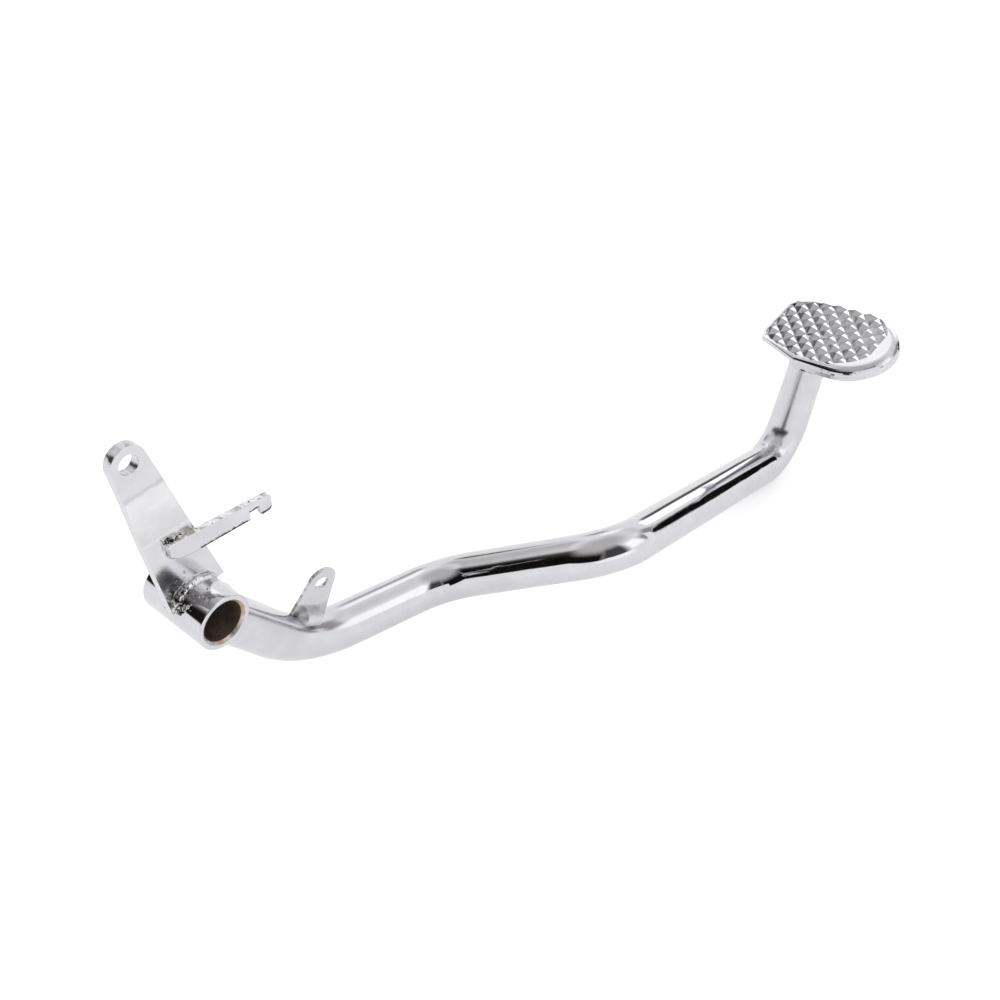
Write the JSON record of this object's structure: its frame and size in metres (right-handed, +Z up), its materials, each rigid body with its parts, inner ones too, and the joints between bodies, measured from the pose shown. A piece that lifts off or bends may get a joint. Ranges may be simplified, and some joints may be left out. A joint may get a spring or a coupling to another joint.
{
  "type": "rear brake pedal",
  "caption": "Chromed rear brake pedal for a motorbike: bent tube lever on a pivot sleeve, brake rod arm, spring hook finger, switch spring tab and knurled foot pad.",
  "frame": {"origin": "middle of the pivot bore, on its axis", "axes": "+X forwards to the foot pad, +Z up, -Y outwards, away from the bike, along the pivot bore"},
  "size_m": [0.343, 0.1195, 0.1548],
  "materials": {
    "sleeve_chrome": "polished",
    "tube_chrome": "polished",
    "arm_chrome": "polished",
    "finger_chrome": "polished",
    "tab_chrome": "polished",
    "pad_chrome": "polished",
    "weld_chrome": "polished"
  },
  "bodies": {
    "root": {"pivot_sleeve": "sleeve_chrome", "lever_knee": "tube_chrome", "lever_jog": "tube_chrome", "lever_stretch": "tube_chrome", "lever_riser": "tube_chrome", "brake_rod_arm": "arm_chrome", "spring_hook_finger": "finger_chrome", "switch_spring_tab": "tab_chrome", "foot_pad": "pad_chrome", "arm_weld_outer": "weld_chrome", "arm_weld_inner": "weld_chrome", "lever_weld": "weld_chrome", "finger_weld_top": "weld_chrome", "finger_weld_low": "weld_chrome", "tab_weld_outer": "weld_chrome", "tab_weld_inner": "weld_chrome", "pad_weld_front": "weld_chrome", "pad_weld_rear": "weld_chrome"}
  },
  "joints": []
}
